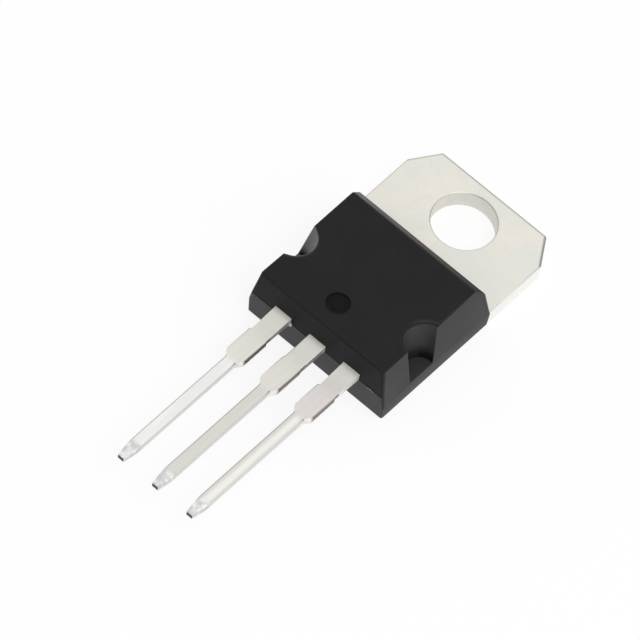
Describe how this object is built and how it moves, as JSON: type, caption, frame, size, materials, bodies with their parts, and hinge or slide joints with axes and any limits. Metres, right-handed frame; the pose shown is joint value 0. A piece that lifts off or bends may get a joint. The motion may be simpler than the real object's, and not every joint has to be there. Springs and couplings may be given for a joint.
{
  "type": "voltage regulator",
  "caption": "Through-hole linear voltage regulator: a moulded black body with notched sides, a plated metal tab with a mounting hole, and straight stamped leads.",
  "frame": {"origin": "on the axis of the mounting hole, on the mounting face of the tab", "axes": "+Z points out of the mounting face through the tab to the marked front; +Y points to the tab's free end, so the leads point to -Y; the input lead is at -X"},
  "size_m": [0.01, 0.0288, 0.0044],
  "materials": {
    "molding_resin": "matte moulded epoxy",
    "tinned_frame": "matte tin plating on copper",
    "tinned_leads": "matte tin plating on copper",
    "silicon": "polished silicon",
    "solder": "dull solder",
    "bond_wire": "drawn aluminium wire"
  },
  "bodies": {
    "root": {"molded_body": "molding_resin", "tab_and_ground_lead": "tinned_frame", "input_lead": "tinned_leads", "output_lead": "tinned_leads", "silicon_chip": "silicon", "chip_solder": "solder", "input_wire": "bond_wire", "output_wire": "bond_wire", "ground_wire": "bond_wire"}
  },
  "joints": []
}
